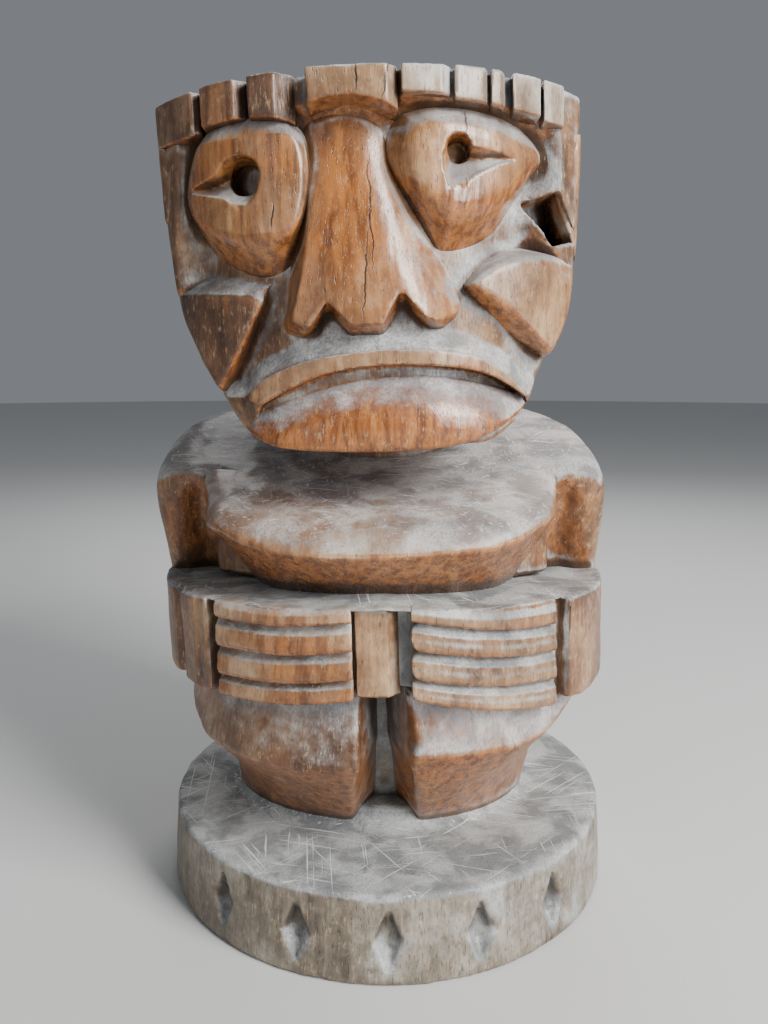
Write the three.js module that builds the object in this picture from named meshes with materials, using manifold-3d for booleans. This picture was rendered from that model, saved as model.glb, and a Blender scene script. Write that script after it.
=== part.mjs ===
// A carved timber tiki figure standing on a round plinth. The real figure is cut from one log;
// here every carved member is a solid of its own, parted from its neighbours by a hairline.
// Millimetres, +Z up, the figure faces -Y, "left" is the -X side, and the origin is at the
// middle of the plinth's underside.
import * as THREE from "three";
import { mergeVertices } from "three/addons/utils/BufferGeometryUtils.js";
import Module from "manifold-3d";

// ---- Driving dimensions ----

const HAIRLINE = 0.3; // gap kept between neighbouring members
const PARTING = 0.4; // degrees kept between neighbours round the log
const FACETS = 64; // facets round the whole log

// The log and the plinth left at its foot
const LOG_RADIUS = 98; // the log's surface at the headband, chest and hands
const SHOULDER_RADIUS = 102; // the log's surface at the upper arms
const FOREARM_RADIUS = 99;
const LOG_AXIS = { footX: 3.8, lean: -0.0285 }; // lean is the axis's sideways drift per millimetre of height
const PLINTH = { x: 1.8, height: 36.7, bottomRadius: 102, topRadius: 100 };
const MARK = { count: 5, height: 26, width: 11, depth: 3.5, spacing: 21 }; // lozenges, spacing in degrees

// Heights of the carved levels
const KNEE_Z = 83;
const HAND_FOOT_Z = 101; // lowest edge of the hands and elbows
const HIP_TOP_Z = 105;
const LEDGE_Z = 145.5; // top of the ring made by the forearms and hands
const CHEST_FOOT_Z = 148;
const CROWN_Z = 329.2; // top of the head on its middle line
const BAND_FOOT_Z = 316.5; // underside of the notched headband
const CROWN_ROLL = 0.03; // rise of the crown per millimetre to the right

// Radii of the cores that the members are left standing on
const HIP_RADIUS = 40;
const WAIST_RADIUS = 82;
const TORSO_RADIUS = 74;
const SKULL_RADIUS = 80;

// The sloped saw cut over the shoulders and the undercut below the chin
const SHOULDER_CUT = { z: 198, slope: 0.3, topZ: 214 };
const CHIN_CUT = { z: 214, slope: 0.11 };
const NECK = { radius: 46, y: 28 };

// Bearings, in degrees from the front, where members end on both sides
const BEARING = { cleft: 6.5, leg: 80, haunch: 177, forearm: 100, arm: 105, temple: 50, headSide: 100 };
const WRIST_BEARING = { left: 43.7, right: 46 };
const ELBOW_DROP = 5; // how much lower the right elbow's block reaches than the left forearm
const FLUTES = { left: [49, 56], right: 48 }; // bearings of the grooves beside the wrists

// The arms stand back from the chest: their front is a plane through (y, z) that comes forward
// by slope as it rises. The chest's ends flare as they run back to it.
const ARM_FACE = { y: -10, z: 143, slope: 0.42 };
const CHEST_PLAN = [[-57, -120], [57, -120], [81, 0], [-81, 0]];

// ---- Timber colours ----

const timber = (colour, roughness) =>
  new THREE.MeshStandardMaterial({ color: colour, roughness, metalness: 0 });
const WEATHERED = timber(0x9d9286, 0.9);
const RUBBED = timber(0xa2633a, 0.6);
const BROWN = timber(0x84604a, 0.75);

// ---- Joining and cutting ----

const wasm = await Module();
wasm.setup();

function solidOf(geometry) {
  geometry.deleteAttribute("normal");
  geometry.deleteAttribute("uv");
  const merged = mergeVertices(geometry, 1e-4);
  return new wasm.Manifold(
    new wasm.Mesh({
      numProp: 3,
      vertProperties: new Float32Array(merged.attributes.position.array),
      triVerts: new Uint32Array(merged.index.array),
    }),
  );
}

function geometryOf(solid) {
  const mesh = solid.getMesh();
  const geometry = new THREE.BufferGeometry();
  geometry.setAttribute("position", new THREE.BufferAttribute(mesh.vertProperties, 3));
  geometry.setIndex(new THREE.BufferAttribute(mesh.triVerts, 1));
  return geometry;
}

// ---- Stock shapes ----

const vectors = (points) => points.map(([x, y]) => new THREE.Vector2(x, y));

// A turned solid about the log's axis, from [radius, height] points that start and end on the
// axis or close on themselves.
function turned(profile) {
  return solidOf(new THREE.LatheGeometry(vectors(profile), FACETS).rotateX(Math.PI / 2));
}

const cylinder = (radius, z0, z1) => turned([[0, z0], [radius, z0], [radius, z1], [0, z1]]);

// A ring about the log's axis: its outer face goes through [radius, height] points, upward.
function ring(innerRadius, outer) {
  const foot = [innerRadius, outer[0][1]];
  const head = [innerRadius, outer.at(-1)[1]];
  return turned([foot, ...outer, head, foot]);
}

const plainRing = (innerRadius, outerRadius, z0, z1) =>
  ring(innerRadius, [[outerRadius, z0], [outerRadius, z1]]);

// A shape drawn on the front view, x across and z up, run from y0 to y1.
function frontPrism(shape, y0 = -120, y1 = 0) {
  const extrusion = new THREE.ExtrudeGeometry(shape, {
    depth: y1 - y0,
    bevelEnabled: false,
    curveSegments: 5,
  });
  return solidOf(extrusion.rotateX(Math.PI / 2).translate(0, y1, 0));
}

const polygon = (points) => new THREE.Shape(vectors(points));

function rounded(points) {
  const shape = new THREE.Shape();
  const curve = new THREE.SplineCurve(vectors([...points, points[0]]));
  shape.setFromPoints(curve.getPoints(points.length * 3).slice(0, -1));
  return shape;
}

// A half-circle drawn out to a point.
function teardrop(x, z, radius, tipX, tipZ) {
  const shape = new THREE.Shape();
  const towardTip = Math.atan2(tipZ - z, tipX - x);
  const spread = Math.acos(radius / Math.hypot(tipX - x, tipZ - z));
  const tangent = towardTip + spread;
  shape.moveTo(tipX, tipZ);
  shape.lineTo(x + radius * Math.cos(tangent), z + radius * Math.sin(tangent));
  shape.absarc(x, z, radius, tangent, towardTip - spread + 2 * Math.PI, false);
  return shape;
}

// A shape drawn on the plan, x across and y to the back, run from z0 to z1.
function planPrism(points, z0 = 30, z1 = 340) {
  const extrusion = new THREE.ExtrudeGeometry(polygon(points), {
    depth: z1 - z0,
    bevelEnabled: false,
  });
  return solidOf(extrusion.translate(0, 0, z0));
}

// A wedge of the log between two bearings, in degrees from the front, positive to the right.
function wedge(from, to, z0, z1) {
  const reach = 220;
  const steps = Math.ceil((to - from) / 45);
  const points = [[0, 0]];
  for (let i = 0; i <= steps; i++) {
    const bearing = THREE.MathUtils.degToRad(from + ((to - from) * i) / steps);
    points.push([reach * Math.sin(bearing), -reach * Math.cos(bearing)]);
  }
  return planPrism(points, z0, z1);
}

// The log behind a bearing on each side, with the parting taken off.
const behind = (bearing) => wedge(bearing + PARTING, 360 - bearing - PARTING);

// Everything in front of a plane that passes through (y, z) and comes forward by slope as it rises.
function inFrontOf(y, z, slope) {
  const reach = 200;
  const block = new THREE.BoxGeometry(2 * reach, 2 * reach, 2 * reach);
  block.translate(0, y - reach, 0);
  const shear = new THREE.Matrix4().set(1, 0, 0, 0, 0, 1, -slope, 0, 0, 0, 1, 0, 0, 0, 0, 1);
  return solidOf(block.applyMatrix4(shear).translate(0, 0, z));
}

// Everything below a plane that rises by slope per millimetre to the back and by roll to the right.
function below(z, slope, roll = 0) {
  const reach = 150;
  const depth = 400;
  const block = new THREE.BoxGeometry(2 * reach, 2 * reach, depth);
  block.translate(0, 0, z - depth / 2);
  const shear = new THREE.Matrix4().set(1, 0, 0, 0, 0, 1, 0, 0, roll, slope, 1, 0, 0, 0, 0, 1);
  return solidOf(block.applyMatrix4(shear));
}

// ---- The figure's members ----

const figure = new THREE.Group();
const lean = new THREE.Matrix4();
lean.set(1, 0, LOG_AXIS.lean, LOG_AXIS.footX, 0, 1, 0, 0, 0, 0, 1, 0, 0, 0, 0, 1);

// Adds a member, moved with the log's lean.
function member(name, solid, material) {
  const mesh = new THREE.Mesh(geometryOf(solid).applyMatrix4(lean), material);
  mesh.name = name;
  figure.add(mesh);
}

const belowShoulderCut = below(SHOULDER_CUT.z, SHOULDER_CUT.slope);
const belowChinCut = below(CHIN_CUT.z, CHIN_CUT.slope);
const belowCrown = below(CROWN_Z, 0, CROWN_ROLL);

// The plinth, with a row of plain lozenges cut into its side.
function addPlinth() {
  const { height, bottomRadius, topRadius } = PLINTH;
  const body = new THREE.CylinderGeometry(topRadius, bottomRadius, height, FACETS);
  let plinth = solidOf(body.rotateX(Math.PI / 2).translate(0, 0, height / 2));
  for (let i = 0; i < MARK.count; i++) {
    const bearing = THREE.MathUtils.degToRad((i - (MARK.count - 1) / 2) * MARK.spacing);
    const cutter = new THREE.ConeGeometry(MARK.width, MARK.depth * 2, 4); // half of it is in the wood
    cutter.scale(1, 1, MARK.height / MARK.width).translate(0, -topRadius - 1, height / 2);
    plinth = plinth.subtract(solidOf(cutter.rotateZ(bearing)));
  }
  const mesh = new THREE.Mesh(geometryOf(plinth), WEATHERED);
  mesh.name = "plinth";
  mesh.position.x = PLINTH.x;
  figure.add(mesh);
}

// Bent legs, undercut from the knees down to the feet, and the plain haunches behind them.
function addLegs() {
  const footZ = PLINTH.height + HAIRLINE;
  const inner = HIP_RADIUS;
  const topZ = HIP_TOP_Z - HAIRLINE;
  member("hip_core", cylinder(inner, footZ, topZ), BROWN);
  const tuckedUnderHands = [
    [WAIST_RADIUS, HAND_FOOT_Z - 3],
    [WAIST_RADIUS, topZ],
  ];
  const leg = ring(inner + HAIRLINE, [[56, footZ], [88, KNEE_Z - 6], [92, KNEE_Z], ...tuckedUnderHands]);
  const haunch = ring(inner + HAIRLINE, [[70, footZ], [88, KNEE_Z], ...tuckedUnderHands]);
  member("leg_left", leg.intersect(wedge(-BEARING.leg, -BEARING.cleft)), BROWN);
  member("leg_right", leg.intersect(wedge(BEARING.cleft, BEARING.leg)), RUBBED);
  member("haunch_left", haunch.intersect(wedge(-BEARING.haunch, -BEARING.leg - PARTING)), BROWN);
  member("haunch_right", haunch.intersect(wedge(BEARING.leg + PARTING, BEARING.haunch)), BROWN);
}

// One hand: four fingers lying across the belly, stacked downward.
function addHand(side, reach, innerX, outerX, innerLevels, outerLevels) {
  const stock = plainRing(WAIST_RADIUS + HAIRLINE, LOG_RADIUS - 1, 90, LEDGE_Z + 4).intersect(reach);
  for (let i = 0; i < 4; i++) {
    const outline = polygon([
      [innerX, innerLevels[i] - HAIRLINE],
      [outerX, outerLevels[i] - HAIRLINE],
      [outerX, outerLevels[i + 1]],
      [innerX, innerLevels[i + 1]],
    ]);
    member(`hand_${side}_finger_${i + 1}`, stock.intersect(frontPrism(outline)), RUBBED);
  }
}

// The ring round the waist: hands, fluted forearm, elbow, the panel between the hands, the back.
function addWaist() {
  const footZ = HIP_TOP_Z;
  const inner = WAIST_RADIUS + HAIRLINE;
  member("waist_core", cylinder(WAIST_RADIUS, footZ, LEDGE_Z), WEATHERED);
  addHand("left", wedge(-WRIST_BEARING.left, 0), -10.8, -72, [147, 141, 130.5, 120, 112], [145, 136.5, 125, 113.5, 105]);
  addHand("right", wedge(0, WRIST_BEARING.right), 8.8, 72, [147, 142, 131, 120, 112], [141, 133, 122.5, 111, 101]);
  const panel = polygon([[-10.2, 111], [8.3, 111], [8.3, 147], [-10.2, 147]]);
  member("loin_panel", plainRing(inner, 92, 108, 150).intersect(frontPrism(panel)), RUBBED);

  const leftStock = plainRing(inner, FOREARM_RADIUS, footZ, LEDGE_Z - 1);
  let forearm = leftStock.intersect(wedge(-BEARING.forearm, -WRIST_BEARING.left - PARTING));
  for (const bearing of FLUTES.left) {
    forearm = forearm.subtract(flute(-bearing));
  }
  member("forearm_left", forearm, BROWN);
  const rightStock = plainRing(inner, FOREARM_RADIUS, footZ - ELBOW_DROP, LEDGE_Z - 3);
  const elbow = rightStock.intersect(wedge(WRIST_BEARING.right + PARTING, BEARING.forearm));
  member("forearm_right", elbow.subtract(flute(FLUTES.right)), BROWN);
  const waistBack = plainRing(inner, LOG_RADIUS, footZ, LEDGE_Z - 2);
  member("waist_back", waistBack.intersect(behind(BEARING.forearm)), BROWN);
}

// A V-shaped vertical groove cutter in the log's surface.
function flute(bearing) {
  const cutter = new THREE.CylinderGeometry(4, 4, 80, 4);
  const angle = THREE.MathUtils.degToRad(bearing);
  cutter.rotateX(Math.PI / 2).rotateZ(angle);
  cutter.translate(SHOULDER_RADIUS * Math.sin(angle), -SHOULDER_RADIUS * Math.cos(angle), 125);
  return solidOf(cutter);
}

// Chest, upper arms and back, all under the sloped cut of the shoulders.
function addTorso() {
  const footZ = LEDGE_Z + 2;
  const topZ = SHOULDER_CUT.topZ;
  const inner = TORSO_RADIUS + HAIRLINE;
  const trim = (solid) => solid.intersect(belowShoulderCut);
  member("torso_core", trim(cylinder(TORSO_RADIUS, LEDGE_Z + HAIRLINE, topZ)), WEATHERED);

  const boat = rounded([
    [-90, 215], [-84, 173], [-64, 155], [-40, 148], [0, 147.4],
    [40, 148], [64, 155], [84, 173], [90, 215],
  ]);
  const chest = ring(inner, [
    [77, CHEST_FOOT_Z],
    [96.5, 166],
    [LOG_RADIUS, 170],
    [LOG_RADIUS, topZ],
  ]);
  const { y, z, slope } = ARM_FACE;
  const flared = chest.intersect(frontPrism(boat)).intersect(planPrism(CHEST_PLAN));
  member("chest", trim(flared.intersect(inFrontOf(y - HAIRLINE, z, slope))), RUBBED);

  const arm = plainRing(inner, SHOULDER_RADIUS, footZ, topZ).subtract(inFrontOf(y, z, slope));
  member("upper_arm_left", trim(arm.intersect(wedge(-BEARING.arm, 0))), BROWN);
  member("upper_arm_right", trim(arm.intersect(wedge(0, BEARING.arm))), BROWN);
  const back = plainRing(inner, LOG_RADIUS + 2, footZ, topZ).intersect(behind(BEARING.arm));
  member("back", trim(back), BROWN);

  const neck = new THREE.CylinderGeometry(NECK.radius, NECK.radius, 80, 32);
  const column = solidOf(neck.rotateX(Math.PI / 2).translate(0, NECK.y, 210));
  const above = below(SHOULDER_CUT.z + HAIRLINE * 1.1, SHOULDER_CUT.slope)
    .intersect(below(topZ + HAIRLINE, 0));
  const under = below(CHIN_CUT.z - HAIRLINE * 1.1, CHIN_CUT.slope);
  member("neck", column.subtract(above).intersect(under), BROWN);
}

// Everything of the head stands on the skull, a plain core with the face's tapering outline.
const HEAD_HALF_WIDTH = 79;
const HEAD_OUTLINE = [
  [HEAD_HALF_WIDTH, 335], [78, 290], [76, 265], [69, 242], [59, 224], [50, 210.5], [38, 205],
];

function headOutline() {
  const left = HEAD_OUTLINE.map(([x, z]) => [-x, z]);
  return polygon([...left, ...HEAD_OUTLINE.toReversed()]);
}

const headBlank = frontPrism(headOutline(), -120, 120);
const trimHead = (solid) => solid.intersect(headBlank).subtract(belowChinCut).intersect(belowCrown);
const faceStock = (radius) => plainRing(SKULL_RADIUS + HAIRLINE, radius, 200, BAND_FOOT_Z - HAIRLINE);
const relief = (shape, stock) => stock.intersect(frontPrism(shape));

const TEMPLE_FOOT_Z = { left: 264, right: 276 };

function addSkull() {
  member("skull", trimHead(cylinder(SKULL_RADIUS, 200, 340)), BROWN);
  const corner = faceStock(LOG_RADIUS);
  const leftSide = wedge(-BEARING.headSide, -BEARING.temple, TEMPLE_FOOT_Z.left);
  const rightSide = wedge(BEARING.temple, BEARING.headSide, TEMPLE_FOOT_Z.right);
  member("temple_left", trimHead(corner.intersect(leftSide)), BROWN);
  member("temple_right", trimHead(corner.intersect(rightSide)), BROWN);
  member("back_of_head", trimHead(corner.intersect(behind(BEARING.headSide))), BROWN);
}

// The notched headband: [left edge, right edge] of each block across the front, then bearings
// of the blocks that carry it round the sides and the back.
const FRONT_BLOCKS = {
  band_left_1: [-79, -58.8],
  band_left_2: [-57.8, -40.9],
  band_left_3: [-39.9, -24.6],
  band_centre: [-20.6, 9.6],
  band_right_1: [11.2, 27.7],
  band_right_2: [28.7, 40],
  band_right_3: [41.2, 46.3],
  band_right_4: [48.6, 60],
  band_right_5: [61.4, 69.8],
};
const BACK_BLOCK_BEARINGS = [58, 95, 125, 155, 185, 215, 245, 275, 302];

function addHeadband() {
  const stock = plainRing(SKULL_RADIUS + HAIRLINE, LOG_RADIUS, BAND_FOOT_Z, 340);
  const bandFront = trimHead(stock);
  for (const [name, [x0, x1]] of Object.entries(FRONT_BLOCKS)) {
    const outline = polygon([[x0, 300], [x1, 300], [x1, 340], [x0, 340]]);
    member(name, bandFront.intersect(frontPrism(outline, -120, -50)), BROWN);
  }
  for (let i = 0; i + 1 < BACK_BLOCK_BEARINGS.length; i++) {
    const block = wedge(BACK_BLOCK_BEARINGS[i] + 0.6, BACK_BLOCK_BEARINGS[i + 1] - 0.6);
    const side = bandFront.intersect(block).subtract(frontStrip());
    member(`band_back_${i + 1}`, side, BROWN);
  }
}

// The strip across the front that the front blocks of the headband take up.
function frontStrip() {
  const outline = polygon([[-90, 300], [70.8, 300], [70.8, 340], [-90, 340]]);
  return frontPrism(outline, -120, HAIRLINE - 50);
}

const EYES = {
  left: { x: -43.5, z: 295.5, radius: 20, tipX: -68, tipZ: 294.5, pupil: 6.6, pupilX: -44.3, pupilZ: 297 },
  right: { x: 33, z: 299, radius: 16.5, tipX: 59, tipZ: 305, pupil: 5.2, pupilX: 29.8, pupilZ: 303.7 },
};
const EYE_BOSS_RADIUS = 96;
const PUPIL_DEPTH = 9;

function addEye(side) {
  const { x, z, radius, tipX, tipZ, pupil, pupilX, pupilZ } = EYES[side];
  const faceWidth = wedge(PARTING - BEARING.temple, BEARING.temple - PARTING);
  const stock = faceStock(EYE_BOSS_RADIUS).intersect(faceWidth);
  const boss = relief(teardrop(x, z, radius, tipX, tipZ), stock);
  const hole = new THREE.Shape().absarc(pupilX, pupilZ, pupil, 0, 2 * Math.PI, false);
  const floor = cylinder(EYE_BOSS_RADIUS - PUPIL_DEPTH, 250, 330);
  member(`eye_${side}`, boss.subtract(frontPrism(hole).subtract(floor)), RUBBED);
}

function addFace() {
  addEye("left");
  addEye("right");

  const nose = polygon([
    [-19, 315], [4, 315], [6, 300], [21, 270], [28, 257], [26, 249], [20, 247.5],
    [10, 257], [3.5, 246], [-8, 245.8], [-16, 254], [-22, 245], [-30, 247.5], [-22.6, 290],
  ]);
  const bridge = ring(SKULL_RADIUS + HAIRLINE, [[97, 243], [96, 258], [87, BAND_FOOT_Z - HAIRLINE]]);
  member("nose", relief(nose, bridge), RUBBED);

  const cheekRight = polygon([[31, 262], [39, 268], [52, 275], [80, 275.6], [80, 236], [55, 240]]);
  const cheekLeft = polygon([[-36, 258], [-49, 259.6], [-80, 263.5], [-80, 232], [-56, 225]]);
  member("cheek_right", trimHead(relief(cheekRight, faceStock(LOG_RADIUS - 3))), RUBBED);
  member("cheek_left", trimHead(relief(cheekLeft, faceStock(LOG_RADIUS - 3))), BROWN);

  const upperLip = rounded([
    [-41, 225], [-29, 232.8], [-4, 238], [24, 238.3], [46, 231.7], [55, 223.5],
    [41, 228.5], [21, 232], [-4, 231.5], [-26, 225.5],
  ]);
  member("upper_lip", trimHead(relief(upperLip, faceStock(92))), RUBBED);
  const lowerLip = rounded([
    [-48, 213], [-32, 219.5], [-11, 226], [17, 228.5], [46, 223.5], [54, 221],
    [46, 212.5], [28, 205.5], [2, 203.3], [-19, 203], [-40, 206],
  ]);
  member("lower_lip", relief(lowerLip, faceStock(94)), RUBBED);
}

addPlinth();
addLegs();
addWaist();
addTorso();
addSkull();
addHeadband();
addFace();

export default figure;
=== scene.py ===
"""A carved timber tiki figure: each carved member is sculpted as a distance field in the log's own
frame, meshed, and given a procedural weathered-hardwood material."""
import math

import bpy
import numpy as np
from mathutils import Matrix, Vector


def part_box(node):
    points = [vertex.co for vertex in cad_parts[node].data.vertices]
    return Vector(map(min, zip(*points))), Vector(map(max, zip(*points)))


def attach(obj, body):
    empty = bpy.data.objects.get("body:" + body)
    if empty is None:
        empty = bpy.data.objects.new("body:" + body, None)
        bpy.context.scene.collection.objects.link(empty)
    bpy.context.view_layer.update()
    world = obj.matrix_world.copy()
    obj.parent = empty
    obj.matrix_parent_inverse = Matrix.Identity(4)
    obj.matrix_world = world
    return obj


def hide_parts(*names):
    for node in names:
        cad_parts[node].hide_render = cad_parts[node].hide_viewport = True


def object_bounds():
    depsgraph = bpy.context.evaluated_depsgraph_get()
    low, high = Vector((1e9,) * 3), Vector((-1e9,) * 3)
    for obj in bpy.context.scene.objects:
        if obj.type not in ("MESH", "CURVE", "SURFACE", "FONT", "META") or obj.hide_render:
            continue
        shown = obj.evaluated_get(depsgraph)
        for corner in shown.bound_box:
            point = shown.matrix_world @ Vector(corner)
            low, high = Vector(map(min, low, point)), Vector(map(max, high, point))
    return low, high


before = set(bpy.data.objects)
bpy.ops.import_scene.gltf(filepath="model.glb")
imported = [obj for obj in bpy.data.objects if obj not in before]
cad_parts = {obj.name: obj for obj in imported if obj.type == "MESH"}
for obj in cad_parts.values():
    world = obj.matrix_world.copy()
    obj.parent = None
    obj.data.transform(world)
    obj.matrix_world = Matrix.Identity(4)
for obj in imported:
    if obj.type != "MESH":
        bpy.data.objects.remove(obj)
CAD_LOW, CAD_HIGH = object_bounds()

# ---- the log, in millimetres

MM = 0.001


def box_mm(node):
    low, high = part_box(node)
    return np.array(low) / MM, np.array(high) / MM


def centre_of(node):
    low, high = box_mm(node)
    return (low + high) / 2


# The log leans: its axis runs through the middles of the hips and the waist.
HIPS, WAIST = centre_of("hip_core"), centre_of("waist_core")
LEAN = (WAIST[0] - HIPS[0]) / (WAIST[2] - HIPS[2])
FOOT_X = HIPS[0] - LEAN * HIPS[2]
PLINTH_LOW, PLINTH_HIGH = box_mm("plinth")
PLINTH_X = centre_of("plinth")[0]
PLINTH_TOP = PLINTH_HIGH[2]
PLINTH_RADIUS = (PLINTH_HIGH[0] - PLINTH_LOW[0]) / 2
LOG_RADIUS = -box_mm("chest")[0][1]
LEDGE = box_mm("waist_core")[1][2]
BAND_FOOT = box_mm("band_left_1")[0][2]
CROWN = 329.2  # the height of the head's flat top where it meets the axis
CROWN_ROLL = 0.03  # how fast that top climbs to the right
ARC = 1.6  # about how many millimetres there are to a degree round the ring and the head
SHOULDER_ARC = 1.7

# How near the log's axis each kind of raised member starts. FACE is the eyes and cheeks; RELIEF is
# the nose, the temples and the upper lip.
LEG_ROOT, ARM_ROOT, FACE_ROOT, RELIEF_ROOT, BAND_ROOT = 30, 82, 76, 78, 79


def positive(x):
    """x, or 0 where x is less."""
    return np.clip(x, 0, None)


def smooth_step(x):
    x = np.clip(x, 0, 1)
    return x * x * (3 - 2 * x)


def ramp(x, xs, ys):
    """Straight lines through (xs, ys)."""
    return np.interp(x, xs, ys).astype(np.float32)


class Block:
    """Sample points on a regular grid. u is across the leaning log; r and bearing are round it, and
    the bearing is 0 in front and grows to the right."""

    def __init__(self, low, high, step):
        axes = [np.arange(a, b + step, step, dtype=np.float32) for a, b in zip(low, high)]
        self.low = np.array([a[0] for a in axes])
        self.step = step
        self.x = axes[0][:, None, None]
        self.y = axes[1][None, :, None]
        self.z = axes[2][None, None, :]
        self.u = self.x - (FOOT_X + LEAN * self.z)
        self.r = np.hypot(self.u, self.y)
        self.bearing = np.degrees(np.arctan2(self.u, -self.y))


# ---- joining and cutting fields


def blend_max(a, b, k=1.2):
    """The overlap of two solids, with an edge worn round over about k."""
    h = np.clip(0.5 + 0.5 * (a - b) / k, 0, 1)
    return a * h + b * (1 - h) + k * h * (1 - h)


def blend_min(a, b, k=1.2):
    """Two solids as one, with a hollow corner filled over about k."""
    return -blend_max(-a, -b, k)


def overlap(*fields, k=1.2):
    """What all the solids have in common."""
    whole = fields[0]
    for field in fields[1:]:
        whole = blend_max(whole, field, k)
    return whole


def bend(points, steps=6):
    """Points on an open smooth curve through the given ones."""
    p = np.array([points[0], *points, points[-1]], float)
    t = np.linspace(0, 1, steps, endpoint=False)[:, None]
    out = []
    for a, b, c, d in zip(p, p[1:], p[2:], p[3:]):
        out.extend(0.5 * (2 * b + (c - a) * t + (2 * a - 5 * b + 4 * c - d) * t**2
                          + (3 * b - a - 3 * c + d) * t**3))
    return [*map(tuple, out), tuple(p[-1])]


def outline(points, b):
    """Signed distance to a closed outline drawn on the front view."""
    u, v = b.u, b.z
    nearest = np.full(np.broadcast(u, v).shape, 1e9, np.float32)
    inside = np.zeros(nearest.shape, bool)
    for (ax, ay), (bx, by) in zip(points, [*points[1:], points[0]]):
        ex, ey = bx - ax, by - ay
        length = ex * ex + ey * ey
        if length < 1e-9:
            continue
        t = np.clip(((u - ax) * ex + (v - ay) * ey) / length, 0, 1)
        nearest = np.minimum(nearest, (u - ax - ex * t) ** 2 + (v - ay - ey * t) ** 2)
        if ey:
            crossing = ((ay <= v) & (v < by)) | ((by <= v) & (v < ay))
            inside ^= crossing & (u < ax + ex * (v - ay) / ey)
    return np.sqrt(nearest) * np.where(inside, -1, 1)


def relief(b, shape, face, slope, k=1.2):
    """A raised member: an outline on the front, a face at that radius, and sides that widen inward."""
    wall = (outline(shape, b) - slope * (face - b.r)) / np.sqrt(1 + slope**2)
    return overlap(wall, b.r - face, RELIEF_ROOT - b.r, b.y, k=k)


def loft(b, front, back, front_radius, back_radius):
    """Sides that change from the outline front, at its radius, to the outline back, nearer the axis."""
    share = np.clip((front_radius - b.r) / (front_radius - back_radius), 0, 1.3)
    wall = outline(front, b) * (1 - share) + outline(back, b) * share
    return wall * 0.85


# ---- plinth and legs

MARK_BEARINGS = [-42, -21, 0, 21, 42]
MARK_HALF_WIDTH, MARK_HALF_HEIGHT, MARK_DEPTH = 6.5, 14, 4.6
KNEE = 82
LEG_TOP = 112  # under the hands


def foot_radius(b):
    """The feet's oval on top of the plinth."""
    s, c = np.abs(b.u) / b.r, -b.y / b.r
    return 1 / np.hypot(s / np.where(b.u < 0, 72, 64), c / np.where(c > 0, 48, 64))


def plinth(b):
    """The upright foot of the log, with its row of cut lozenges and a fillet round the feet."""
    across = b.x - PLINTH_X
    r = np.hypot(across, b.y)
    bearing = np.degrees(np.arctan2(across, -b.y))
    surface = PLINTH_RADIUS - 2 * b.z / PLINTH_TOP
    off_middle = np.abs(b.z - PLINTH_TOP / 2)
    body = overlap(r - surface, off_middle - PLINTH_TOP / 2, k=2)
    for mark in MARK_BEARINGS:
        along = np.abs(bearing - mark) * math.pi / 180 * PLINTH_RADIUS
        diamond = along / MARK_HALF_WIDTH + off_middle / MARK_HALF_HEIGHT - 1
        pit = r - surface + MARK_DEPTH * np.minimum(1, -2 * diamond)
        body = blend_max(body, pit * 0.7, 0.4)
    rise = b.z - PLINTH_TOP
    fillet = b.r - foot_radius(b) - 4.5 * np.exp(-np.clip(rise, -2, 12) / 3) + 1.5
    return blend_min(body, overlap(fillet * 0.7, rise - 7, -4 - rise), 3)


def leg_surface(b, ridge):
    """Bent legs: a foot oval, a knee ridge and a thigh that runs up under the hands."""
    s, c = np.abs(b.u) / b.r, -b.y / b.r
    foot = foot_radius(b)
    knee = 92 * c**2 + 91 * s**2
    t = (np.clip(b.z, PLINTH_TOP, 200) - PLINTH_TOP) / (ridge - PLINTH_TOP)
    bow = 5 * s**2 * np.sin(math.pi * np.clip(t, 0, 1))
    shin = foot + (knee - foot) * t - bow
    thigh = knee - 0.24 * (b.z - ridge)
    return blend_max(b.r - shin, b.r - thigh, 1.5) * 0.75


def cleft(b, side, middle, spread):
    """The wall of the V between the legs; low down the V is wider and runs further back."""
    t = np.clip((KNEE - b.z) / (KNEE - PLINTH_TOP), 0, 1)
    apex = 58 - 32 * t
    opening = spread + (0.56 - spread) * t
    return (middle + opening * (-b.y - apex) - side * b.u) * 0.85


def leg_left(b):
    ridge = ramp(b.bearing, [-110, -80, -60, -30, -7], [94, 86, 78, 79, 82])
    inner = cleft(b, -1, 4.5, 0.2)
    corner = (b.u + 9) * 0.7 + (b.r - 90) * 0.7
    return overlap(leg_surface(b, ridge), inner, corner, LEG_ROOT - b.r, b.y - 8, b.z - LEG_TOP, k=2)


def leg_right(b):
    ridge = ramp(b.bearing, [6, 20, 34, 44, 50, 57, 80, 110], [87, 86.5, 85, 86, 88, 92, 100, 102])
    inner = cleft(b, 1, 1, 0.28)
    corner = -0.75 * (b.u - 12.8) - 0.66 * (b.y + 90) - 0.6 * positive(91.5 - b.z)
    return overlap(leg_surface(b, ridge), inner, corner, LEG_ROOT - b.r, b.y - 8, b.z - LEG_TOP, k=1.2)


def haunch(side):
    def field(b):
        ridge = ramp(np.abs(b.bearing), [80, 180], [93 + 7 * side, 88])
        return overlap(leg_surface(b, ridge), 4 - side * b.u, 38 - b.r, -8 - b.y, b.z - LEG_TOP, k=1.5)
    return field


def hip_core(b):
    """The wood between the legs, cut back further low down."""
    cut_back = 22 * smooth_step((84 - b.z) / 48)
    return overlap(b.r - 57, -b.y - 56 + cut_back, b.z - 110, PLINTH_TOP - 3 - b.z)


# ---- the ring of forearms and hands

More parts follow.
